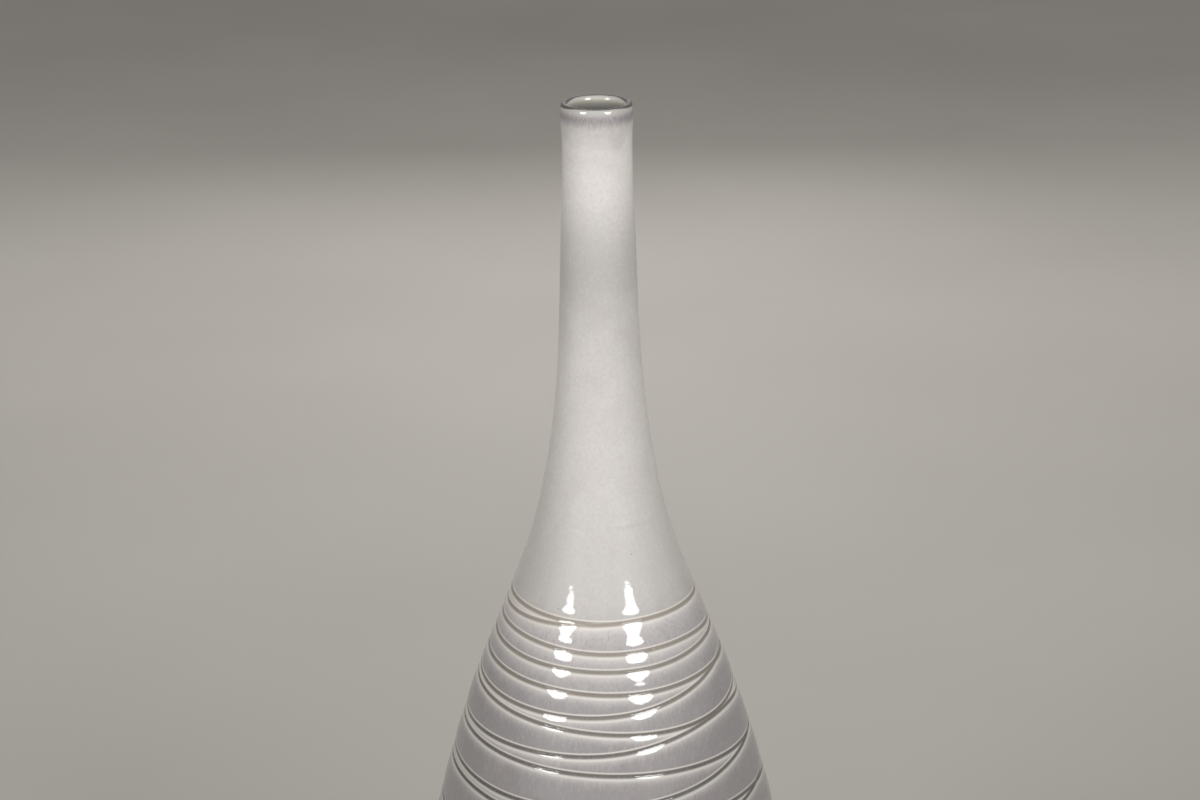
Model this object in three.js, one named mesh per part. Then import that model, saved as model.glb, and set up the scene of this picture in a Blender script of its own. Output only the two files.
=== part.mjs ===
// Tall stoneware bottle vase, as the five thrown sections a potter joins at leather-hard:
// neck with its lip, shoulder, belly, lower body with the closed floor, and the foot ring.
// Millimetres, +Z up. The origin is the middle of the foot's resting plane.
import * as THREE from 'three';

// ---- driving dimensions (mm) ----
const HEIGHT = 640;            // foot plane to the crest of the lip
const SEGMENTS = 48;           // facets around the axis
const GAP = 0.36;              // clearance in every seam between sections
const LAP = 9;                 // height of the stepped lap in a seam
const NECK_SEAM = 436;         // neck onto shoulder
const SHOULDER_SEAM = 278;     // shoulder onto belly
const BELLY_SEAM = 112;        // belly onto lower body
const FLOOR_TOP = 20;          // inside face of the floor
const FLOOR_UNDER = 9;         // underside of the floor, up inside the foot ring
const FOOT_TOP = 12;           // where the foot ring meets the lower body
const FOOT_IN = 43.5;          // inner radius of the foot ring
const FOOT_OUT = 53.5;         // outer radius of the foot ring where it stands
const LIP_R = 17.5;            // outer radius of the lip, 35 mm across
const LIP_IN = 13.4;           // bore radius just under the lip

// Outer radius against height, from the foot's top to just under the lip.
const OUTER = [
  [12, 56.4], [20, 61.6], [30, 67.9], [42, 74.9], [56, 82.3], [70, 88.5], [85, 93.9], [100, 97.8],
  [115, 100.4], [130, 101.8], [145, 102.2], [160, 101.9], [180, 100.7], [200, 98.8], [220, 96.1],
  [240, 92.7], [260, 88.6], [280, 83.9], [300, 78.5], [320, 72.5], [340, 66.0], [360, 58.5],
  [380, 50.4], [400, 42.65], [420, 35.9], [440, 30.6], [460, 26.7], [480, 23.8], [500, 21.7],
  [520, 20.25], [540, 19.3], [560, 18.6], [580, 17.85], [600, 17.1], [620, 16.9], [628, 17.1],
];

// Wall thickness against height, measured level.
const WALL = [
  [12, 10.5], [30, 8.6], [56, 7.6], [85, 7.0], [130, 6.4], [200, 6.0], [280, 6.0], [340, 6.2],
  [400, 6.0], [440, 5.2], [480, 4.5], [540, 4.0], [600, 3.7], [628, 3.6],
];

function interpolate(table, z) {
  // Hermite curve through the table, with slopes from the neighbouring rows.
  const n = table.length;
  if (z <= table[0][0]) return table[0][1];
  if (z >= table[n - 1][0]) return table[n - 1][1];
  let i = 0;
  while (z > table[i + 1][0]) i += 1;
  const slope = (k) => {
    const a = table[Math.max(k - 1, 0)];
    const b = table[Math.min(k + 1, n - 1)];
    return (b[1] - a[1]) / (b[0] - a[0]);
  };
  const [z0, r0] = table[i];
  const [z1, r1] = table[i + 1];
  const h = z1 - z0;
  const t = (z - z0) / h;
  return (2 * t ** 3 - 3 * t ** 2 + 1) * r0 + (t ** 3 - 2 * t ** 2 + t) * h * slope(i)
    + (-2 * t ** 3 + 3 * t ** 2) * r1 + (t ** 3 - t ** 2) * h * slope(i + 1);
}

const outer = (z) => interpolate(OUTER, z);
const inner = (z) => outer(z) - interpolate(WALL, z);
const middle = (z) => (outer(z) + inner(z)) / 2;

function stations(low, high, step) {
  const count = Math.max(1, Math.round((high - low) / step));
  return Array.from({ length: count + 1 }, (_, i) => low + ((high - low) * i) / count);
}

// Top edge of a section: half the wall stands up as a tongue behind the seam. Outside to inside.
function tongue(seam) {
  return [
    [outer(seam), seam - GAP / 2],
    [middle(seam) - GAP / 2, seam - GAP / 2],
    [middle(seam + LAP) - GAP / 2, seam + LAP - GAP / 2],
    [inner(seam + LAP), seam + LAP - GAP / 2],
  ];
}

// Bottom edge of a section: the other half of the wall comes down over the tongue. Inside to outside.
function skirt(seam) {
  return [
    [inner(seam + LAP), seam + LAP + GAP / 2],
    [middle(seam + LAP) + GAP / 2, seam + LAP + GAP / 2],
    [middle(seam) + GAP / 2, seam + GAP / 2],
    [outer(seam), seam + GAP / 2],
  ];
}

// A closed ring from a profile of [radius, height] points that goes up outside and down inside.
function turned(profile) {
  const points = profile.map(([r, z]) => new THREE.Vector2(r, z));
  const closed = profile[0][0] < 1e-9;
  if (!closed) points.push(points[0].clone());
  const geometry = new THREE.LatheGeometry(points, SEGMENTS);
  geometry.rotateX(Math.PI / 2);
  return geometry;
}

const glaze = {
  neck: 0xd3cec6,
  shoulder: 0xb4aeab,
  belly: 0xa19b99,
  lower: 0x9a9391,
  clay: 0x8f7862,
};

function piece(name, profile, color, roughness) {
  const material = new THREE.MeshStandardMaterial({ color, roughness, metalness: 0 });
  const mesh = new THREE.Mesh(turned(profile), material);
  mesh.name = name;
  return mesh;
}

const group = new THREE.Group();

// Neck: a slim tube that flares into the body, with a rounded, slightly swollen lip.
group.add(piece('neck', [
  ...skirt(NECK_SEAM).slice(3),
  ...stations(NECK_SEAM + 10, 500, 14).map((z) => [outer(z), z]),
  ...stations(520, 620, 25).map((z) => [outer(z), z]),
  [17.15, 627.5], [LIP_R - 0.06, 631.5], [LIP_R, 634.4], [17.35, 636.9], [17.0, 638.6], [16.45, 639.6],
  [15.6, HEIGHT], [14.7, 639.85], [14.0, 639.2], [13.6, 638], [LIP_IN, 635.5],
  [LIP_IN, 627],
  ...stations(520, 610, 30).reverse().map((z) => [inner(z), z]),
  ...stations(NECK_SEAM + LAP + 11, 500, 14).reverse().map((z) => [inner(z), z]),
  ...skirt(NECK_SEAM).slice(0, 3),
], glaze.neck, 0.25));

// Shoulder: the bell of the upper body.
group.add(piece('shoulder', [
  ...skirt(SHOULDER_SEAM).slice(3),
  ...stations(SHOULDER_SEAM + 12, NECK_SEAM - 12, 16).map((z) => [outer(z), z]),
  ...tongue(NECK_SEAM),
  ...stations(SHOULDER_SEAM + LAP + 15, NECK_SEAM - 8, 20).reverse().map((z) => [inner(z), z]),
  ...skirt(SHOULDER_SEAM).slice(0, 3),
], glaze.shoulder, 0.22));

// Belly: the widest part of the body.
group.add(piece('belly', [
  ...skirt(BELLY_SEAM).slice(3),
  ...stations(BELLY_SEAM + 12, SHOULDER_SEAM - 14, 16).map((z) => [outer(z), z]),
  ...tongue(SHOULDER_SEAM),
  ...stations(BELLY_SEAM + LAP + 15, SHOULDER_SEAM - 12, 22).reverse().map((z) => [inner(z), z]),
  ...skirt(BELLY_SEAM).slice(0, 3),
], glaze.belly, 0.22));

// Lower body: curves in to the base, with the closed floor and a low boss that centres the foot.
group.add(piece('lower_body', [
  [0, FLOOR_UNDER],
  [FOOT_IN - GAP, FLOOR_UNDER],
  [FOOT_IN - GAP, FOOT_TOP],
  [outer(FOOT_TOP) - 0.7, FOOT_TOP],
  [outer(FOOT_TOP + 1), FOOT_TOP + 1],
  ...stations(22, BELLY_SEAM - 10, 10).map((z) => [outer(z), z]),
  ...tongue(BELLY_SEAM),
  ...stations(34, BELLY_SEAM - 8, 13).reverse().map((z) => [inner(z), z]),
  [inner(30) - 4.5, 26],
  [inner(30) - 11, 22.2],
  [inner(30) - 20, FLOOR_TOP],
  [0, FLOOR_TOP],
], glaze.lower, 0.25));

// Foot ring: stands on its flat lower face, bare clay underneath.
group.add(piece('foot_ring', [
  [FOOT_IN + 1.2, 0],
  [FOOT_OUT - 1.4, 0],
  [FOOT_OUT - 0.4, 0.45],
  [FOOT_OUT, 1.5],
  [FOOT_OUT + 0.5, 6],
  [outer(FOOT_TOP) - 1.2, FOOT_TOP - GAP - 0.6],
  [outer(FOOT_TOP) - 1.8, FOOT_TOP - GAP],
  [FOOT_IN, FOOT_TOP - GAP],
  [FOOT_IN, 1.5],
  [FOOT_IN + 0.4, 0.45],
], glaze.clay, 0.8));

export default group;
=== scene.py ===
"""A tall glazed stoneware bottle vase with carved rings, on a plain pale floor under soft studio light."""
import math

import bpy
import numpy as np
from mathutils import Matrix, Vector


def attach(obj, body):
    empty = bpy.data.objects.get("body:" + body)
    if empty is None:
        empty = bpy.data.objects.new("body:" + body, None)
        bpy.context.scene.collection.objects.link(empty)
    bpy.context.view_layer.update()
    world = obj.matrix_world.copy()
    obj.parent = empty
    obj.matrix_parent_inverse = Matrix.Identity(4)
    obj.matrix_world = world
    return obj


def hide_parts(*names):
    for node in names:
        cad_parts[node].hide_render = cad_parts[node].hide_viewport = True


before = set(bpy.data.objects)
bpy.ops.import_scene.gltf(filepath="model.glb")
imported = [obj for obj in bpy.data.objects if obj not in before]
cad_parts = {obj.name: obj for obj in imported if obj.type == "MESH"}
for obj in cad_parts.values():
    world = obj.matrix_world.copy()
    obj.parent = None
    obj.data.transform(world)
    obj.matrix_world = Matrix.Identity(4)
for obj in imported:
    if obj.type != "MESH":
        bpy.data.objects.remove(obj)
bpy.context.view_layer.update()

MM = 0.001
TAU = 2 * math.pi

# ------------------------------------------------------------------ the turned form (mm)
OUTER = np.array([
    (12, 56.4), (20, 61.6), (30, 67.9), (42, 74.9), (56, 82.3), (70, 88.5), (85, 93.9), (100, 97.8),
    (115, 100.4), (130, 101.8), (145, 102.2), (160, 101.9), (180, 100.7), (200, 98.8), (220, 96.1),
    (240, 92.7), (260, 88.6), (280, 83.9), (300, 78.5), (320, 72.5), (340, 66.0), (360, 58.5),
    (380, 50.4), (400, 42.65), (420, 35.9), (440, 30.6), (460, 26.7), (480, 23.8), (500, 21.7),
    (520, 20.25), (540, 19.3), (560, 18.6), (580, 17.85), (600, 17.1), (620, 16.9), (628, 17.1)], float)
WALL = np.array([
    (12, 10.5), (30, 8.6), (56, 7.6), (85, 7.0), (130, 6.4), (200, 6.0), (280, 6.0), (340, 6.2),
    (400, 6.0), (440, 5.2), (480, 4.5), (540, 4.0), (600, 3.7), (628, 3.6)], float)
NECK_SEAM, SHOULDER_SEAM, BELLY_SEAM = 436.0, 278.0, 112.0
LAP = 9.0
GAP = 0.36


def hermite(table, z):
    """The curve of the turned form through a table of (height, value), as the solids have it."""
    x, y = table[:, 0], table[:, 1]
    a = np.r_[0, np.arange(len(x) - 1)]
    b = np.r_[np.arange(1, len(x)), len(x) - 1]
    m = (y[b] - y[a]) / (x[b] - x[a])
    z = np.clip(z, x[0], x[-1])
    i = np.clip(np.searchsorted(x, z, side="right") - 1, 0, len(x) - 2)
    h = x[i + 1] - x[i]
    t = (z - x[i]) / h
    return ((2 * t**3 - 3 * t**2 + 1) * y[i] + (t**3 - 2 * t**2 + t) * h * m[i]
            + (-2 * t**3 + 3 * t**2) * y[i + 1] + (t**3 - t**2) * h * m[i + 1])


def smoothed(table, low, high, sigma, step=0.5):
    """The same curve with its curvature evened out, sampled finely enough to interpolate."""
    pad = 6 * sigma
    z = np.arange(low - pad, high + pad + step, step)
    v = hermite(table, z)
    v = np.where(z < table[0, 0], v[np.searchsorted(z, table[0, 0])] + (z - table[0, 0]) * (table[1, 1] - table[0, 1]) / (table[1, 0] - table[0, 0]), v)
    k = np.exp(-0.5 * (np.arange(-int(4 * sigma / step), int(4 * sigma / step) + 1) * step / sigma) ** 2)
    k /= k.sum()
    w = np.convolve(v, k, mode="same")
    return z, w


_Z, _R = smoothed(OUTER, 12, 628, 4.5)


def radius(z):
    return np.interp(z, _Z, _R)


def slope(z):
    return (radius(z + 1.5) - radius(z - 1.5)) / 3.0


def wall(z):
    return hermite(WALL, z)


# ------------------------------------------------------------------ the carved rings (mm)
# Each ring is a closed cut round the body. Its height is c0 plus four harmonics of the angle from the front,
# as (cos, sin) pairs. Neighbours lean opposite ways, so they close up or cross at the sides.
RINGS = [
    (391.05, -0.90, -0.78, -0.14, 0.14, -0.04, 0.09, -0.15, -0.03),
    (388.95, -0.15, 1.68, 0.60, 0.23, 0.17, 0.00, -0.08, 0.00),
    (376.40, 0.40, -2.64, -0.38, 0.60, -0.30, 0.26, -0.16, -0.18),
    (369.50, -0.76, -0.53, -0.84, 0.20, -0.30, -0.10, 0.28, -0.18),
    (358.20, -0.17, -2.00, -0.40, 0.25, -0.27, 0.05, 0.13, -0.22),
    (352.77, -3.82, 3.94, -1.46, 0.20, -0.32, -0.28, 0.11, -0.21),
    (342.60, -3.08, -2.90, -0.38, -0.88, 0.22, -0.10, 0.17, 0.03),
    (330.17, 0.97, 3.40, -0.52, 1.25, -0.95, 0.14, -0.12, -0.42),
    (318.05, 2.16, -4.28, -0.04, 0.32, -0.10, 0.05, 0.08, 0.10),
    (306.80, 0.05, 4.15, -2.10, -0.10, -0.80, -0.45, 0.80, 0.00),
    (292.58, 4.62, -5.12, -1.20, 0.78, -1.02, 0.36, 0.34, -0.18),
    (285.20, -2.09, 6.75, -0.39, -0.27, 0.07, -0.42, 0.11, -0.05),
]
_rng = np.random.default_rng(20)
_z, _k = 272.0, 0
while _z > 44:
    lean = (-1) ** (_k + 1) * (5.2 + 1.6 * _rng.random())
    RINGS.append((_z, 3.2 * (_rng.random() - 0.5), lean, 1.6 * (_rng.random() - 0.5), 1.4 * (_rng.random() - 0.5),
                  0.9 * (_rng.random() - 0.5), 0.8 * (_rng.random() - 0.5), 0.4 * (_rng.random() - 0.5),
                  0.4 * (_rng.random() - 0.5)))
    _z -= 12.2 + 2.6 * _rng.random()
    _k += 1


def ring_height(c, phi):
    out = c[0] + 0 * phi
    for h in range(1, 5):
        out = out + c[2 * h - 1] * np.cos(h * phi) + c[2 * h] * np.sin(h * phi)
    return out


def ring_slope(c, phi):
    out = 0 * phi
    for h in range(1, 5):
        out = out - h * c[2 * h - 1] * np.sin(h * phi) + h * c[2 * h] * np.cos(h * phi)
    return out


def ring_distances(phi, z):
    """Signed distance along the surface from each ring's centre line, positive above it: (rings, ...)."""
    r, s = radius(z), np.sqrt(1 + slope(z) ** 2)
    low, high = np.min(z) - 28, np.max(z) + 28
    out = []
    for i, c in enumerate(RINGS):
        if i < 2 or i == len(RINGS) - 1 or low < c[0] < high:
            m = ring_slope(c, phi) * s / np.maximum(r, 1)
            out.append((z - ring_height(c, phi)) * s / np.sqrt(1 + m * m))
    return np.array(out)


CUT_DEEP, CUT_ABOVE, CUT_BELOW = 0.34, 1.08, 1.5


def cut(s, slant=1.0):
    """The section of one carved line: a steep wall above its round bottom, and a long slant out of it below."""
    up, down = np.clip(s, 0, None), np.sqrt(np.clip(-s, 0, None) ** 2 + 0.09) - 0.3
    return -CUT_DEEP * np.where(s > 0, np.exp(-(up / CUT_ABOVE) ** 3.0), np.exp(-down / (CUT_BELOW * slant)))


def table(z, *rows):
    """A value that follows a table of (height, value)."""
    t = np.array(rows, float)
    return np.interp(z, t[:, 0], t[:, 1])


def gentle(v, a, b):
    """0 at a, 1 at b, smoothly."""
    t = np.clip((v - a) / (b - a), 0, 1)
    return t * t * (3 - 2 * t)


def soft_noise(phi, z, seed, rows):
    """A smooth field that closes round the vase: rows of (waves round, waves per mm up, size)."""
    g = np.random.default_rng(seed)
    out = np.zeros(np.broadcast(phi, z).shape)
    for n_round, per_mm, size in rows:
        for _ in range(4):
            k = int(round(n_round * (0.6 + 0.8 * g.random())))
            f = per_mm * (0.5 + g.random()) * TAU * (1 if g.random() > 0.5 else -1)
            out = out + size / 4 * np.sin(k * phi + f * z + TAU * g.random())
    return out


DENT_AT, DENT_Z = math.radians(64.0), 461.5


def carve(phi, z):
    """Displacement along the normal (mm), and the distances to the nearest ring, to the one above and to the one below."""
    d = ring_distances(phi, z)
    # the two topmost rings run into one across the front: the upper fades out there, the lower just before it
    front = np.degrees((phi + math.pi) % TAU - math.pi)
    faint = np.array([gentle(front, -12, -1) * gentle(front, 36, 24), 0.6 * np.exp(-((front + 14) / 6.5) ** 2)])
    reach = np.abs(d)
    reach[:2] += 0.85 * faint
    near = reach.min(0)
    above = np.where(d < 0, -d, 60.0).min(0)
    below = np.where(d >= 0, d, 60.0).min(0)
    # the tool was held steeper in two stretches low down, so the slant is short there
    steep = (gentle(z, 346, 342) * gentle(front, -6, -14) * gentle(front, -60, -42)
             + gentle(z, 327, 322) * gentle(front, 4, 10) * gentle(front, 45, 30))
    cuts = cut(d, 1 - 0.6 * steep)
    cuts[:2] *= 1 - 0.6 * faint
    total = cuts.min(0)
    # the clay pushed up over each cut: a low swelling that rolls over into it
    swell = table(z, (352, 0.02), (362, 0.03), (371, 0.09)) * np.exp(-((below - 3.8) / 1.9) ** 2)
    total = total + swell * (1 - np.exp(-(below / 1.2) ** 2))
    # each band between two cuts stands a little proud and rolls in to its edges, more so on the wide bands low down
    proud = table(z, (60, 0.40), (335, 0.40), (360, 0.27), (391, 0.25)) * np.exp(-np.clip(z - 391, 0, None) / 19.0)
    top = table(z, (322, 0.20), (330, 0.27), (337, 0.30), (346, 0.13), (357, 0.08), (363, 0.0))
    top = top * (1 - 0.75 * gentle(z, 347, 341) * gentle(front, -5, -20) * gentle(front, -70, -50))
    foot = table(z, (330, 0.22), (350, 0.14), (357, 0.18), (362, 0.30), (369, 0.25), (376, 0.10))
    total = total + proud - top * np.exp(-above / 5.0) - foot * np.exp(-below / table(z, (352, 3.4), (360, 6.0)))
    # a slight waist above the topmost ring
    total = total - 0.13 * (0.85 - 0.25 * np.sin(phi)) * np.exp(-((z - 411.0) / 9.0) ** 2)
    # the faint ring where the neck was joined on, and a thumb's dent beside it
    joint = z - 433.2 - 0.9 * np.sin(phi) + 0.3 * np.cos(2 * phi)
    total = total + 0.07 * np.exp(-((joint - 1.9) / 1.5) ** 2) - 0.06 * np.exp(-(joint / 0.7) ** 2)
    total = total + 0.03 * np.exp(-((joint - 8.5) / 1.6) ** 2) - 0.02 * np.exp(-((joint - 6.4) / 0.8) ** 2)
    arc = np.abs(np.angle(np.exp(1j * (phi - DENT_AT)))) * 26.0
    total = total - 0.42 * np.exp(-(arc / 4.2) ** 2 - ((z - DENT_Z) / 6.0) ** 2)
    lively = soft_noise(phi, z, 5, [(3, 0.004, 0.14), (7, 0.012, 0.07), (14, 0.03, 0.025)])
    return total + lively, near, above, below


def surface(phi, z):
    """Point on the outer face (mm), with the carving."""
    r, dr = radius(z), slope(z)
    n = np.sqrt(1 + dr * dr)
    d, near, above, below = carve(phi, z)
    fade = np.clip((628 - z) / 10, 0, 1) * np.clip((z - 12) / 6, 0, 1)
    d = d * fade
    rr, zz = r + d / n, z - d * dr / n
    return np.stack([rr * np.sin(phi), -rr * np.cos(phi), zz], -1), near, above, below


def surface_normal(phi, z):
    e, h = 0.25 / 80, 0.12
    p1, p0 = surface(phi + e, z)[0], surface(phi - e, z)[0]
    q1, q0 = surface(phi, z + h)[0], surface(phi, z - h)[0]
    n = np.cross(p1 - p0, q1 - q0)
    return n / np.linalg.norm(n, axis=-1, keepdims=True)


# ------------------------------------------------------------------ mesh building
def ring_points(profile, phi):
    """Rings of plain turned points (mm) for a list of (radius, height)."""
    rows = [np.stack([r * np.sin(phi), -r * np.cos(phi), np.full_like(phi, z)], -1) for r, z in profile]
    return np.array(rows)


def strip_map(grid, fine, first, last):
    """Corner coordinates of every face on a square sheet: the fine rows in one tall strip, all the others in a low one.
    The strips start at the left side of the vase, so that no join faces the front. Rows before the first and after the
    last are the caps' wedges, where first and last ask for them."""
    rows, segs = grid.shape[:2]
    line = grid[:, 0]
    step = list(np.linalg.norm(np.diff(line, axis=0), axis=1))
    is_fine = [bool(fine[i] and fine[i + 1]) for i in range(rows - 1)]
    if not (first or last):
        step.append(float(np.linalg.norm(line[0] - line[-1])))
        is_fine.append(bool(fine[0] and fine[-1]))
    n_quads = len(step)
    step += [float(np.linalg.norm(line[0, :2]))] * first + [float(np.linalg.norm(line[-1, :2]))] * last
    is_fine += [False] * (first + last)
    step, is_fine = np.array(step), np.array(is_fine)
    edge, gap, low = 0.006, 0.012, (0.15 if (~is_fine).any() else -0.012)
    v = np.zeros((len(step), 2))
    for which, start, end in ((~is_fine, edge, edge + low), (is_fine, edge + low + gap, 1 - edge)):
        length, at = max(step[which].sum(), 1e-9), 0.0
        for i in np.flatnonzero(which):
            v[i] = start + (end - start) * at / length, start + (end - start) * (at + step[i]) / length
            at += step[i]
    turn = (np.arange(segs) + segs // 4) % segs
    u0 = edge + (1 - 2 * edge) * turn / segs
    u1 = edge + (1 - 2 * edge) * (turn + 1) / segs
    quads = np.zeros((n_quads, segs, 4, 2))
    for i in range(n_quads):
        for j, (u, w) in enumerate(((u0, 0), (u1, 0), (u1, 1), (u0, 1))):
            quads[i, :, j, 0], quads[i, :, j, 1] = u, v[i, w]
    wedges = []
    for i in range(n_quads, len(step)):
        t = np.zeros((segs, 3, 2))
        order = (u1, u0) if (first and i == n_quads) else (u0, u1)
        t[:, 0, 0], t[:, 0, 1] = (u0 + u1) / 2, v[i, 1]
        for j in (1, 2):
            t[:, j, 0], t[:, j, 1] = order[j - 1], v[i, 0]
        wedges.append(t.reshape(-1, 2))
    return np.concatenate([quads.reshape(-1, 2)] + wedges)


def make_piece(name, node, segs, blocks, materials, cap_first=False, cap_last=False, uneven=0.0):
    """A closed turned piece from blocks of (rows, kind, material index): carved rows are heights, the fine and plain
    ones are profiles of (radius, height). Plain rows are the inside and the seams."""
    phi = np.linspace(0, TAU, segs, endpoint=False)
    parts = []
    for rows, kind, mat in blocks:
        if kind == "carved":
            for some in np.array_split(np.asarray(rows, float), max(1, len(rows) // 20)):
                P, Z = np.meshgrid(phi, some)
                pts, near, above, below = surface(P, Z)
                parts.append((pts, near, above, below, np.zeros(P.shape), surface_normal(P, Z), True, mat))
        else:
            g = ring_points(rows, phi)
            if uneven:
                wave = 1 + uneven * soft_noise(phi[None], np.zeros((len(rows), 1)), 9, [(5, 0, 0.7), (16, 0, 0.3)])
                g[..., 0] *= wave
                g[..., 1] *= wave
            far = np.full(g.shape[:2], 60.0)
            inside = np.full(g.shape[:2], 1.0 if kind == "plain" else 0.0)
            parts.append((g, far, far, far, inside, np.full(g.shape, np.nan), kind == "fine", mat))
    grid, near, above, below, inside, norm = (np.concatenate([p[i] for p in parts]) for i in range(6))
    fine = np.concatenate([np.full(len(p[0]), p[6]) for p in parts])
    mat_of_row = np.concatenate([np.full(len(p[0]), p[7]) for p in parts])
    rows = grid.shape[0]
    idx = np.arange(rows * segs).reshape(rows, segs)
    a, b = idx[:-1], idx[1:]
    quads = np.stack([a, np.roll(a, -1, 1), np.roll(b, -1, 1), b], -1).reshape(-1, 4)
    mats = np.repeat(np.maximum(mat_of_row[:-1], mat_of_row[1:]), segs)
    if not (cap_first or cap_last):
        a, b = idx[-1], idx[0]
        quads = np.concatenate([quads, np.stack([a, np.roll(a, -1), np.roll(b, -1), b], -1)])
        mats = np.concatenate([mats, np.full(segs, mat_of_row[0])])
    faces = [tuple(q) for q in quads.tolist()]
    fields = [f.ravel() for f in (near, above, below, inside)]
    co, norm = grid.reshape(-1, 3) * MM, norm.reshape(-1, 3)
    wedge = np.arange(segs)
    following = (wedge + 1) % segs
    for wanted, row in ((cap_first, 0), (cap_last, rows - 1)):
        if not wanted:
            continue
        c = len(co)
        ends = (idx[row, following], idx[row, wedge]) if row == 0 else (idx[row, wedge], idx[row, following])
        faces += [tuple(t) for t in np.stack([np.full(segs, c), *ends], -1).tolist()]
        mats = np.concatenate([mats, np.full(segs, mat_of_row[row])])
        co = np.concatenate([co, [(0, 0, float(grid[row, 0, 2]) * MM)]])
        norm = np.concatenate([norm, np.full((1, 3), np.nan)])
        fields = [np.append(f, v) for f, v in zip(fields, (60.0, 60.0, 60.0, 1.0))]
    me = bpy.data.meshes.new(name)
    me.from_pydata(co.tolist(), [], faces)
    for key, values in zip(("near", "above", "below", "inside"), fields):
        at = me.attributes.new(key, "FLOAT", "POINT")
        at.data.foreach_set("value", np.ascontiguousarray(values, np.float32))
    layer = me.uv_layers.new(name="OFBake", do_init=False)
    uv = strip_map(grid, fine, cap_first, cap_last)
    layer.uv.foreach_set("vector", np.ascontiguousarray(uv.ravel(), np.float32))
    me.polygons.foreach_set("use_smooth", np.ones(len(me.polygons), bool))
    for m in materials:
        me.materials.append(m)
    me.polygons.foreach_set("material_index", np.ascontiguousarray(mats, np.int32))
    me.update()
    # the carved face takes its true normals, the rest the mesh's own
    own = np.zeros(len(me.vertices) * 3, np.float32)
    me.vertex_normals.foreach_get("vector", own)
    own = own.reshape(-1, 3).astype(float)
    ok = ~np.isnan(norm[:, 0])
    own[ok] = norm[ok]
    me.normals_split_custom_set_from_vertices(own.tolist())
    ob = bpy.data.objects.new(name, me)
    bpy.context.scene.collection.objects.link(ob)
    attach(ob, "root")
    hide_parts(node)
    return ob


def rounded(points, parts):
    """A smooth profile through the points."""
    p = np.array(points, float)
    q = np.vstack([2 * p[0] - p[1], p, 2 * p[-1] - p[-2]])
    out = []
    for i in range(1, len(q) - 2):
        for t in np.arange(parts) / parts:
            a0, a1, a2, a3 = q[i - 1], q[i], q[i + 1], q[i + 2]
            out.append(0.5 * (2 * a1 + (a2 - a0) * t + (2 * a0 - 5 * a1 + 4 * a2 - a3) * t**2
                              + (3 * a1 - a0 - 3 * a2 + a3) * t**3))
    return [tuple(v) for v in out + [p[-1]]]


def inner_r(z):
    return float(radius(z) - wall(z))


def middle_r(z):
    return float(radius(z) - wall(z) / 2)


def tongue(seam):
    """Plain rows of a section's top edge, outside to inside, after its last carved row at the seam."""
    return [(middle_r(seam) - GAP / 2, seam - GAP / 2), (middle_r(seam + LAP) - GAP / 2, seam + LAP - GAP / 2),
            (inner_r(seam + LAP), seam + LAP - GAP / 2)]


def skirt(seam):
    """Plain rows of a section's bottom edge, inside to outside, before its first carved row at the seam."""
    return [(inner_r(seam + LAP), seam + LAP + GAP / 2), (middle_r(seam + LAP) + GAP / 2, seam + LAP + GAP / 2),
            (middle_r(seam) + GAP / 2, seam + GAP / 2)]


def inner_rows(high, low, step):
    n = max(2, int(round((high - low) / step)))
    return [(inner_r(z), float(z)) for z in np.linspace(high, low, n)]


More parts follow.
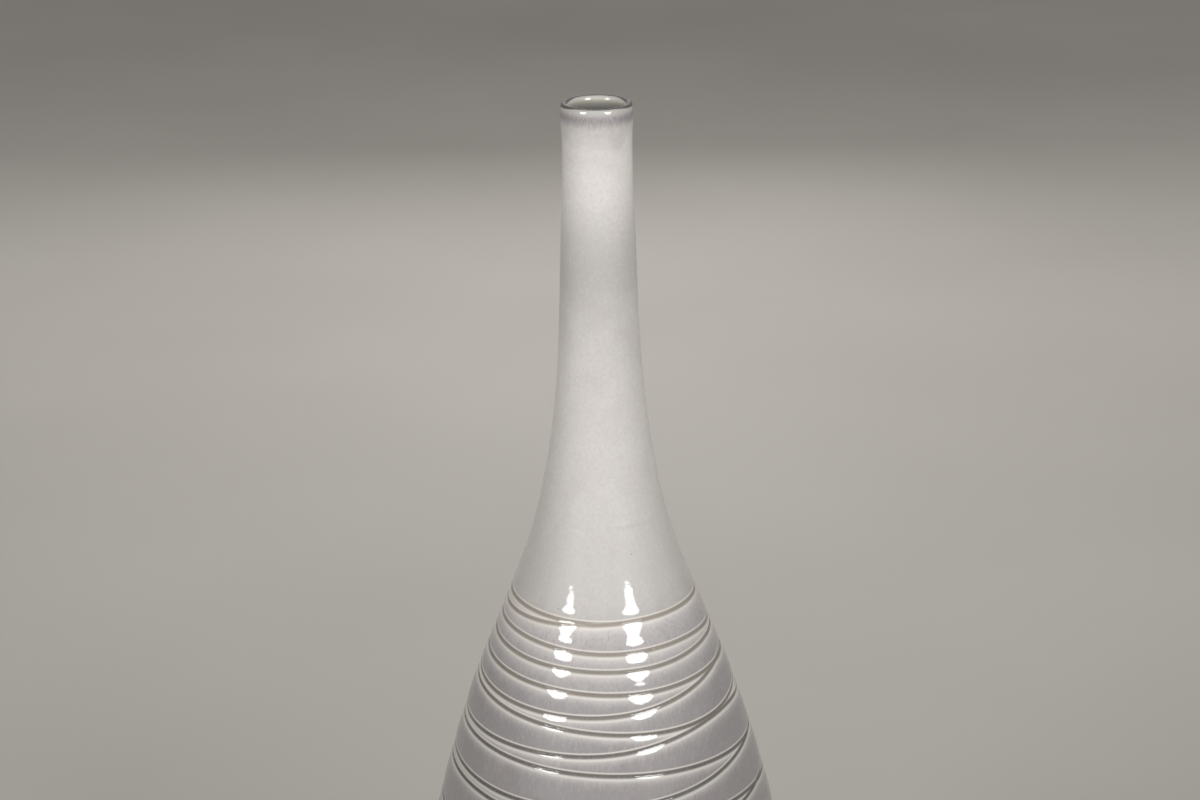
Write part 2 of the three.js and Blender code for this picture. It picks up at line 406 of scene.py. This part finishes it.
# ------------------------------------------------------------------ node helpers
class Nodes:
    def __init__(self, material):
        self.t = material.node_tree
        self.n = self.t.nodes
        self.l = self.t.links

    def new(self, kind, **props):
        node = self.n.new(kind)
        for k, v in props.items():
            setattr(node, k, v)
        return node

    def put(self, socket, value):
        if isinstance(value, bpy.types.NodeSocket):
            self.l.new(value, socket)
        elif value is not None:
            socket.default_value = value

    def math(self, op, a, b=None, c=None, clamp=False):
        m = self.new("ShaderNodeMath", operation=op, use_clamp=clamp)
        self.put(m.inputs[0], a)
        self.put(m.inputs[1], b)
        self.put(m.inputs[2], c)
        return m.outputs[0]

    def vec(self, op, a, b=None):
        m = self.new("ShaderNodeVectorMath", operation=op)
        self.put(m.inputs[0], a)
        if op == "SCALE":
            self.put(m.inputs[3], b)
        else:
            self.put(m.inputs[1], b)
        return m.outputs["Value" if op in ("LENGTH", "DOT_PRODUCT") else "Vector"]

    def split(self, v):
        s = self.new("ShaderNodeSeparateXYZ")
        self.put(s.inputs[0], v)
        return s.outputs

    def join(self, x, y, z):
        s = self.new("ShaderNodeCombineXYZ")
        for i, v in enumerate((x, y, z)):
            self.put(s.inputs[i], v)
        return s.outputs[0]

    def attr(self, name):
        return self.new("ShaderNodeAttribute", attribute_name=name).outputs["Fac"]

    def noise(self, vector, scale, detail=2.0, rough=0.5, distortion=0.0):
        n = self.new("ShaderNodeTexNoise")
        self.put(n.inputs["Vector"], vector)
        n.inputs["Scale"].default_value = scale
        n.inputs["Detail"].default_value = detail
        n.inputs["Roughness"].default_value = rough
        n.inputs["Distortion"].default_value = distortion
        return n.outputs["Fac"]

    def range(self, v, a, b, c=0.0, d=1.0, smooth=True):
        m = self.new("ShaderNodeMapRange", interpolation_type="SMOOTHSTEP" if smooth else "LINEAR", clamp=True)
        self.put(m.inputs[0], v)
        for i, x in enumerate((a, b, c, d)):
            self.put(m.inputs[i + 1], x)
        return m.outputs[0]

    def mix(self, fac, a, b, blend="MIX"):
        m = self.new("ShaderNodeMix", data_type="RGBA", blend_type=blend, clamp_factor=True)
        self.put(m.inputs[0], fac)
        self.put(m.inputs[6], a)
        self.put(m.inputs[7], b)
        return m.outputs[2]

    def ramp(self, v, stops, interpolation="LINEAR"):
        r = self.new("ShaderNodeValToRGB")
        r.color_ramp.interpolation = interpolation
        e = r.color_ramp.elements
        while len(e) < len(stops):
            e.new(0.5)
        for i, (p, c) in enumerate(stops):
            e[i].position = p
            e[i].color = c
        self.put(r.inputs[0], v)
        return r.outputs[0]

    def bump(self, height, strength, distance, normal=None):
        b = self.new("ShaderNodeBump")
        b.inputs["Strength"].default_value = strength
        b.inputs["Distance"].default_value = distance
        self.put(b.inputs["Height"], height)
        if normal is not None:
            self.put(b.inputs["Normal"], normal)
        return b.outputs[0]


def srgb(r, g, b):
    """A colour given as 0-255 display values, as linear light."""
    return tuple((v / 255 / 12.92 if v / 255 <= 0.04045 else ((v / 255 + 0.055) / 1.055) ** 2.4) for v in (r, g, b)) + (1.0,)


def fresh(name):
    m = bpy.data.materials.new(name)
    m.use_nodes = True
    return m, Nodes(m), m.node_tree.nodes["Principled BSDF"]


def grey(v, r=1.0, b=1.0):
    """Linear light of a given level, with its red and blue set against its green."""
    return (v * r, v, v * b, 1.0)


# the ground's level by height (mm): up the neck, down to the first ring, and the bands below it
NECK = [(388, 0.490), (400, 0.578), (437, 0.636), (467, 0.686), (507, 0.690), (527, 0.640), (547, 0.525), (560, 0.522),
        (574, 0.578), (594, 0.756), (606, 0.786), (621, 0.730), (632, 0.555)]
EDGE = [(262, 0.46), (305, 0.56), (330, 0.65), (368, 0.67), (388, 0.72)]
DEEP = [(200, 0.235), (295, 0.27), (325, 0.295), (350, 0.325), (371, 0.405), (388, 0.50)]
# the colour in the cuts by height: pooled glaze, darkened with painted shade
POOL_GLAZE_AND_SHADE = [(262, 0.070, 1.02, 0.97), (305, 0.086, 1.02, 0.96), (330, 0.125, 1.08, 0.90), (358, 0.212, 1.12, 0.87),
        (388, 0.315, 1.13, 0.87)]
# the inside of the mouth, where the light and the glaze both thin out downwards
MOUTH = [(625.0, 0.19, 1.02, 0.97), (634.0, 0.22, 1.02, 0.95), (635.0, 0.26, 1.03, 0.93), (636.0, 0.31, 1.04, 0.90),
         (637.0, 0.39, 1.05, 0.87), (637.9, 0.50, 1.06, 0.85), (638.8, 0.60, 1.04, 0.90)]


def by_height(k, z, table, r=1.0, b=1.0):
    """A level that follows a table of heights (mm), as a colour. A row may carry its own red and blue."""
    low, high = table[0][0], table[-1][0]
    return k.ramp(k.range(z, low, high, smooth=False),
                  [((row[0] - low) / (high - low), grey(row[1], *(row[2:] or (r, b)))) for row in table])


def glaze_material():
    m, k, bsdf = fresh("ring_glaze")
    pos = k.new("ShaderNodeTexCoord").outputs["Object"]
    x, y, z = k.split(pos)
    r = k.math("MAXIMUM", k.math("SQRT", k.math("ADD", k.math("MULTIPLY", x, x), k.math("MULTIPLY", y, y))), 0.002)
    zmm = k.math("MULTIPLY", z, 1000.0)
    # the same place on every height has the same direction, so these run straight down the form
    ux, uy = k.math("DIVIDE", x, r), k.math("DIVIDE", y, r)
    near, above, below, inside = (k.attr(n) for n in ("near", "above", "below", "inside"))

    cloud = k.noise(pos, 24.0, 4.0, 0.55)
    patch = k.noise(pos, 90.0, 3.0, 0.55)
    mottle = k.noise(pos, 620.0, 3.0, 0.6)
    grain = k.noise(pos, 1700.0, 2.0, 0.6)
    flow = k.noise(k.join(ux, uy, k.math("MULTIPLY", z, 4.0)), 62.0, 4.0, 0.62, 0.3)
    rain = k.noise(k.join(ux, uy, k.math("MULTIPLY", z, 4.5)), 120.0, 3.0, 0.62, 0.2)

    # neck and the slope above the rings
    high = k.math("ADD", zmm, k.range(cloud, 0.3, 0.7, -7.0, 7.0, smooth=False))
    high = k.math("ADD", high, k.range(patch, 0.3, 0.7, -2.5, 2.5, smooth=False))
    neck = by_height(k, high, NECK, 1.036, 0.975)
    neck = k.mix(k.range(patch, 0.35, 0.7, 0.0, 0.10), neck, srgb(190, 180, 168))
    neck = k.mix(k.range(mottle, 0.42, 0.72, 0.0, 0.20), neck, srgb(188, 182, 176))
    neck = k.mix(k.range(mottle, 0.5, 0.25, 0.0, 0.16), neck, srgb(240, 236, 230))

    # the bands between the rings: pale under each cut, going grey down to the next, where the glaze lies thick
    thin = k.math("EXPONENT", k.math("MULTIPLY", k.math("MAXIMUM", k.math("SUBTRACT", above, 1.7), 0.0),
                                     k.range(zmm, 350.0, 372.0, -1 / 1.7, -1 / 2.7, smooth=False)))
    rim = k.math("MULTIPLY", k.range(below, 1.05, 1.45), k.range(below, 2.35, 1.6))
    sill = k.math("MULTIPLY", k.range(above, 1.25, 1.65), k.range(above, 2.7, 1.8))
    drift = k.range(flow, 0.3, 0.7, -0.12, 0.12, smooth=False)
    drift = k.math("ADD", drift, k.range(rain, 0.3, 0.7, -0.07, 0.07, smooth=False))
    drift = k.math("ADD", drift, k.range(patch, 0.3, 0.7, -0.07, 0.07, smooth=False))
    sunk = k.math("SUBTRACT", 1.0, thin)
    sunk = k.math("ADD", sunk, k.math("MULTIPLY", drift, k.range(sunk, 0.0, 0.75, 0.15, 1.0)), clamp=True)
    deep = by_height(k, zmm, DEEP, 1.05, 1.0)
    deep = k.mix(k.range(mottle, 0.45, 0.68, 0.0, 0.42), deep, srgb(150, 143, 152))
    deep = k.mix(k.range(grain, 0.52, 0.70, 0.0, 0.30), deep, srgb(150, 138, 126))
    edge = by_height(k, zmm, EDGE, 1.05, 0.95)
    edge = k.mix(k.range(mottle, 0.45, 0.75, 0.0, 0.22), edge, srgb(196, 186, 178))
    bright = k.mix(1.0, edge, (1.16, 1.15, 1.12, 1.0), "MULTIPLY")
    band = k.mix(sunk, edge, deep)
    band = k.mix(k.math("MAXIMUM", k.math("MULTIPLY", rim, 0.9), k.math("MULTIPLY", sill, 0.36)), band, bright)
    # above the topmost ring there is no band, only the neck's ground running down to its lip
    top = k.math("MULTIPLY", k.math("GREATER_THAN", above, 40.0), k.math("GREATER_THAN", zmm, 300.0))
    ground = k.mix(top, band, k.mix(k.math("MULTIPLY", rim, 0.85), neck, srgb(240, 233, 222)))

    # dark glaze pooled in the bottom of each cut, made darker with painted shade that stands in for the shade of a
    # deeper cut
    pool_and_shade_mask = k.range(near, 1.52, 0.35)
    pool_and_shade_colour = by_height(k, zmm, POOL_GLAZE_AND_SHADE, 1.04, 0.93)
    pool_and_shade_colour = k.mix(k.range(rain, 0.4, 0.75, 0.0, 0.25), pool_and_shade_colour, srgb(176, 168, 158))
    ground = k.mix(k.math("MULTIPLY", pool_and_shade_mask, 0.97), ground, pool_and_shade_colour)

    # under the lip the glaze breaks dark with a streaked lower edge, and bare and dark again on its crest; towards the
    # left and right the dark crest is widened with a painted dark reflection, and the band below is darkened with
    # painted shade
    ring_noise = k.noise(k.join(ux, uy, k.math("MULTIPLY", z, 6.0)), 20.0, 4.0, 0.6)
    fine_ring = k.noise(k.join(ux, uy, k.math("MULTIPLY", z, 9.0)), 48.0, 3.0, 0.6)
    ragged = k.math("ADD", zmm, k.range(ring_noise, 0.3, 0.7, -1.1, 1.1, smooth=False))
    ragged = k.math("ADD", ragged, k.range(fine_ring, 0.3, 0.7, -0.6, 0.6, smooth=False))
    lipband = k.math("MULTIPLY", k.range(ragged, 630.0, 634.6), k.range(zmm, 639.0, 634.8))
    lipband = k.math("MULTIPLY", lipband, k.range(r, 0.0150, 0.0160))
    aside = k.math("MULTIPLY", ux, ux)
    # painted shade: the band under the lip goes darker towards the left and right sides
    lip_band_with_side_shade = k.mix(k.math("MULTIPLY", k.range(fine_ring, 0.32, 0.68), k.range(aside, 0.75, 0.0, 0.35, 1.0)),
                 srgb(138, 132, 138), srgb(184, 177, 177))
    ground = k.mix(k.math("MULTIPLY", lipband, 0.9), ground, lip_band_with_side_shade)
    ground = k.mix(k.math("MULTIPLY", k.range(zmm, 636.5, 638.3), 0.75), ground, grey(0.50, 1.03, 0.94))
    # painted dark reflection: towards the left and right sides the dark crest reaches further out, lower down and
    # further in
    crest_reach_with_side_reflection = k.math("SUBTRACT", r, k.range(aside, 0.35, 0.95, 0.0, 0.0010))
    crest_and_side_reflection = k.range(k.math("ADD", zmm, k.range(aside, 0.2, 0.95, 0.0, 1.0)),
                    k.range(crest_reach_with_side_reflection, 0.0150, 0.0160, 637.9, 639.55), k.range(crest_reach_with_side_reflection, 0.0150, 0.0160, 638.5, 639.85))
    crest_and_side_reflection = k.math("MULTIPLY", crest_and_side_reflection, k.range(zmm, 636.0, 636.8))
    crest_and_side_reflection = k.math("MULTIPLY", crest_and_side_reflection, k.range(r, k.range(aside, 0.35, 0.95, 0.0144, 0.0138),
                                              k.range(aside, 0.35, 0.95, 0.0148, 0.0141)))
    crest_and_reflection_colour = k.mix(k.range(mottle, 0.35, 0.7), srgb(84, 77, 79), srgb(104, 96, 98))
    ground = k.mix(k.math("MULTIPLY", crest_and_side_reflection, 0.94), ground, crest_and_reflection_colour)
    # the inside is thinner and olive, and the walls below the rim only see each other
    within = k.math("MAXIMUM", inside, k.math("MULTIPLY", k.range(r, 0.0142, 0.0139), k.range(zmm, 600.0, 601.0)))
    ground = k.mix(k.math("MULTIPLY", within, k.math("SUBTRACT", 1.0, crest_and_side_reflection)), ground, by_height(k, zmm, MOUTH))

    # large soft clouds, and the odd iron speck
    ground = k.mix(k.range(cloud, 0.35, 0.7, 0.0, 0.07), ground, srgb(150, 140, 130))
    spots = k.new("ShaderNodeTexVoronoi")
    k.put(spots.inputs["Vector"], pos)
    spots.inputs["Scale"].default_value = 62.0
    lone = k.math("MULTIPLY", k.range(spots.outputs["Distance"], 0.030, 0.014),
                  k.math("GREATER_THAN", k.split(spots.outputs["Color"])[0], 0.62))
    ground = k.mix(k.math("MULTIPLY", lone, 0.62), ground, srgb(112, 98, 84))
    k.put(bsdf.inputs["Base Color"], ground)

    rough = k.range(mottle, 0.3, 0.75, 0.035, 0.075)
    rough = k.math("ADD", rough, k.math("MULTIPLY", crest_and_side_reflection, 0.42))
    k.put(bsdf.inputs["Roughness"], rough)
    bsdf.inputs["IOR"].default_value = 1.52
    k.put(bsdf.inputs["Specular IOR Level"], k.range(crest_and_side_reflection, 0.0, 1.0, 0.75, 0.12, smooth=False))
    # the fired surface is never quite level: long waves down the form, and the odd pinhole
    wave = k.noise(k.join(ux, uy, k.math("MULTIPLY", z, 5.0)), 46.0, 2.0, 0.5)
    bump = k.bump(wave, 1.0, 0.000007)
    bump = k.bump(k.noise(pos, 150.0, 2.0, 0.5), 1.0, 0.00005, bump)
    bump = k.bump(mottle, 1.0, 0.000002, bump)
    k.put(bsdf.inputs["Normal"], bump)
    return m


def clay_material():
    m, k, bsdf = fresh("bare_clay")
    pos = k.new("ShaderNodeTexCoord").outputs["Object"]
    x, y, z = k.split(pos)
    grit = k.noise(pos, 1400.0, 3.0, 0.6)
    cloud = k.noise(pos, 40.0, 4.0, 0.6)
    turning = k.noise(k.join(0.0, k.math("SQRT", k.math("ADD", k.math("MULTIPLY", x, x), k.math("MULTIPLY", y, y))), z), 1500.0, 1.0, 0.5)
    c = k.mix(cloud, srgb(150, 124, 100), srgb(172, 147, 122))
    c = k.mix(k.range(grit, 0.6, 0.72, 0.0, 0.6), c, srgb(84, 66, 52))
    c = k.mix(k.range(turning, 0.4, 0.7, 0.0, 0.2), c, srgb(198, 178, 154))
    k.put(bsdf.inputs["Base Color"], c)
    k.put(bsdf.inputs["Roughness"], k.range(grit, 0.3, 0.7, 0.72, 0.9))
    b = k.bump(grit, 0.5, 0.0004)
    b = k.bump(turning, 0.4, 0.0004, b)
    k.put(bsdf.inputs["Normal"], b)
    return m


GLAZE = glaze_material()
CLAY = clay_material()
SEGS = 256

# ------------------------------------------------------------------ the five sections
lip = rounded([(17.12, 627.6), (17.3, 630.0), (17.44, 632.2), (17.5, 634.4), (17.44, 636.2), (17.3, 637.6), (17.02, 638.8),
               (16.6, 639.6), (16.1, 639.95), (15.4, 640.0), (14.75, 639.88), (14.2, 639.45), (13.8, 638.7), (13.54, 637.5),
               (13.42, 635.5), (13.4, 633.0)], 3)
make_piece(
    "neck_glazed", "neck", SEGS,
    [(skirt(NECK_SEAM), "plain", 0), (np.linspace(NECK_SEAM, 626, 240), "carved", 0), (lip, "fine", 0),
     (inner_rows(629, NECK_SEAM + LAP + 8, 6), "plain", 0)],
    [GLAZE])

make_piece(
    "shoulder_glazed", "shoulder", SEGS,
    [(skirt(SHOULDER_SEAM), "plain", 0),
     (np.r_[np.arange(SHOULDER_SEAM, 398, 0.36), np.linspace(398, NECK_SEAM, 22)], "carved", 0),
     (tongue(NECK_SEAM) + inner_rows(NECK_SEAM - 2, SHOULDER_SEAM + LAP + 8, 14), "plain", 0)],
    [GLAZE])

make_piece(
    "belly_glazed", "belly", SEGS,
    [(skirt(BELLY_SEAM), "plain", 0), (np.linspace(BELLY_SEAM, SHOULDER_SEAM, 368), "carved", 0),
     (tongue(SHOULDER_SEAM) + inner_rows(SHOULDER_SEAM - 2, BELLY_SEAM + LAP + 8, 16), "plain", 0)],
    [GLAZE])

make_piece(
    "lower_body_glazed", "lower_body", SEGS,
    [([(5, 9.0), (18, 9.0), (32, 9.0), (42.6, 9.0), (43.0, 9.12), (43.12, 9.5), (43.14, 12.0), (54.9, 12.0), (56.1, 12.25)],
      "plain", 0),
     (np.linspace(13.0, BELLY_SEAM, 250), "carved", 0),
     (tongue(BELLY_SEAM) + inner_rows(BELLY_SEAM - 2, 34, 9)
      + [(inner_r(30) - 2.0, 28.0), (inner_r(30) - 4.5, 26.0), (inner_r(30) - 7.5, 23.9), (inner_r(30) - 11, 22.2),
         (inner_r(30) - 15, 20.9), (inner_r(30) - 20, 20.0), (18, 20.0), (6, 20.0)], "plain", 0)],
    [GLAZE], cap_first=True, cap_last=True)

foot_profile = rounded([
    (44.7, 0.0), (46.5, 0.0), (49.0, 0.0), (51.2, 0.0), (52.2, 0.08), (52.9, 0.3), (53.3, 0.75), (53.5, 1.5),
    (53.55, 3.0), (53.75, 5.0), (54.2, 7.5), (54.8, 9.8), (55.2, 11.0), (55.1, 11.5), (54.6, 11.64),
    (50.0, 11.64), (43.7, 11.62), (43.5, 11.3), (43.5, 8.0), (43.5, 4.0), (43.5, 1.5), (43.62, 0.8), (43.95, 0.35), (44.3, 0.1)], 2)
make_piece("foot_ring_clay", "foot_ring", SEGS, [([(r, max(z, 0.0)) for r, z in foot_profile], "fine", 0)],
           [CLAY], uneven=0.0012)

# ------------------------------------------------------------------ stage, light, camera
def floor_material():
    m, k, bsdf = fresh("pale_floor")
    pos = k.new("ShaderNodeTexCoord").outputs["Object"]
    c = k.mix(k.range(k.noise(pos, 1.3, 3.0, 0.5), 0.3, 0.7), srgb(188, 183, 176), srgb(195, 190, 183))
    k.put(bsdf.inputs["Base Color"], c)
    bsdf.inputs["Roughness"].default_value = 0.7
    return m


me = bpy.data.meshes.new("floor")
half = 14.0
me.from_pydata([(-half, -half, 0), (half, -half, 0), (half, half, 0), (-half, half, 0)], [], [(0, 1, 2, 3)])
floor = bpy.data.objects.new("floor", me)
bpy.context.scene.collection.objects.link(floor)
me.materials.append(floor_material())


def soft_box(name, azimuth, elevation, distance, width, height, radiance, lean=0.0, shape="ELLIPSE", target=(0, -0.045, 0.37)):
    """A flat studio light, azimuth measured from the camera's side, positive to the right. lean turns its top away
    from the camera's side, in degrees."""
    light = bpy.data.lights.new(name, "AREA")
    light.shape = shape
    light.size, light.size_y = width, height
    light.energy = radiance * math.pi * width * height * (math.pi / 4 if shape == "ELLIPSE" else 1)
    ob = bpy.data.objects.new(name, light)
    a, e = math.radians(azimuth), math.radians(elevation)
    d = Vector((math.sin(a) * math.cos(e), -math.cos(a) * math.cos(e), math.sin(e)))
    side = Vector((math.cos(a), math.sin(a), 0)) * (1 if azimuth > 0 else -1)
    up = Vector((0, 0, 1)) * math.cos(math.radians(lean)) + side * math.sin(math.radians(lean))
    up = (up - d * up.dot(d)).normalized()
    ob.matrix_world = Matrix.Translation(Vector(target) + d * distance) @ Matrix((up.cross(d), up, d)).transposed().to_4x4()
    ob.visible_camera = False
    bpy.context.scene.collection.objects.link(ob)
    return ob


soft_box("key_left", -45.7, 24.3, 1.9, 0.64, 0.64, 9.9)
soft_box("key_right", 36.8, 25.3, 1.9, 0.73, 0.73, 9.2)
soft_box("back_left", -157, 27, 2.6, 0.75, 1.1, 2.0, shape="RECTANGLE")
soft_box("back_right", 157, 27, 2.6, 0.75, 1.1, 2.0, shape="RECTANGLE")
soft_box("back_middle", 180, 16, 2.3, 0.9, 0.9, 3.2)

# where the room's own light comes from: azimuth, elevation, the cosines it starts and is full at, and how much
SPREADS = [(0, 0, 0.45, 0.97, 0.61), (0, 50, 0.70, 0.97, 0.40), (46, 20, 0.85, 0.985, 0.44), (-50, 20, 0.85, 0.985, 0.53),
           (95, 8, 0.60, 0.97, 0.30), (-95, 8, 0.60, 0.97, 0.05), (180, 0, 0.62, 0.97, 0.10), (0, 90, 0.74, 0.94, 0.22)]

# the room: dim all round, with a wide soft spread of light about each key, before and over the vase, and some on its right
world = bpy.data.worlds.new("studio")
world.use_nodes = True
bpy.context.scene.world = world
wk = Nodes(world)
bg = world.node_tree.nodes["Background"]
toward = wk.new("ShaderNodeTexCoord").outputs["Generated"]
level = 0.05
for azimuth, elevation, rim_at, full_at, amount in SPREADS:
    a, e = math.radians(azimuth), math.radians(elevation)
    facing = wk.vec("DOT_PRODUCT", toward, (math.sin(a) * math.cos(e), -math.cos(a) * math.cos(e), math.sin(e)))
    level = wk.math("ADD", level, wk.range(facing, rim_at, full_at, 0.0, amount))
bg.inputs["Color"].default_value = (1.0, 0.992, 0.98, 1.0)
wk.put(bg.inputs["Strength"], level)

# camera: the photograph's viewing angle, looking down about 20 degrees with a long lens
F_PX, PITCH, ROLL = 2600.0, math.radians(19.7406), math.radians(-0.71994)
CAM_Y, CAM_Z, CAM_X = -1.206895, 0.923075, -0.00011
cam_data = bpy.data.cameras.new("camera")
cam_data.sensor_fit = "HORIZONTAL"
cam_data.sensor_width = 36.0
cam_data.lens = F_PX / 1200.0 * 36.0
cam_data.clip_start, cam_data.clip_end = 0.05, 60
cam = bpy.data.objects.new("camera", cam_data)
right, up = Vector((1, 0, 0)), Vector((0, math.sin(PITCH), math.cos(PITCH)))
c, s_ = math.cos(ROLL), math.sin(ROLL)
r2, u2 = c * right + s_ * up, -s_ * right + c * up
back = r2.cross(u2)
cam.matrix_world = Matrix.Translation((CAM_X, CAM_Y, CAM_Z)) @ Matrix((r2, u2, back)).transposed().to_4x4()
bpy.context.scene.collection.objects.link(cam)
bpy.context.scene.camera = cam

bpy.context.scene.view_settings.view_transform = "Standard"
bpy.context.scene.view_settings.look = "None"
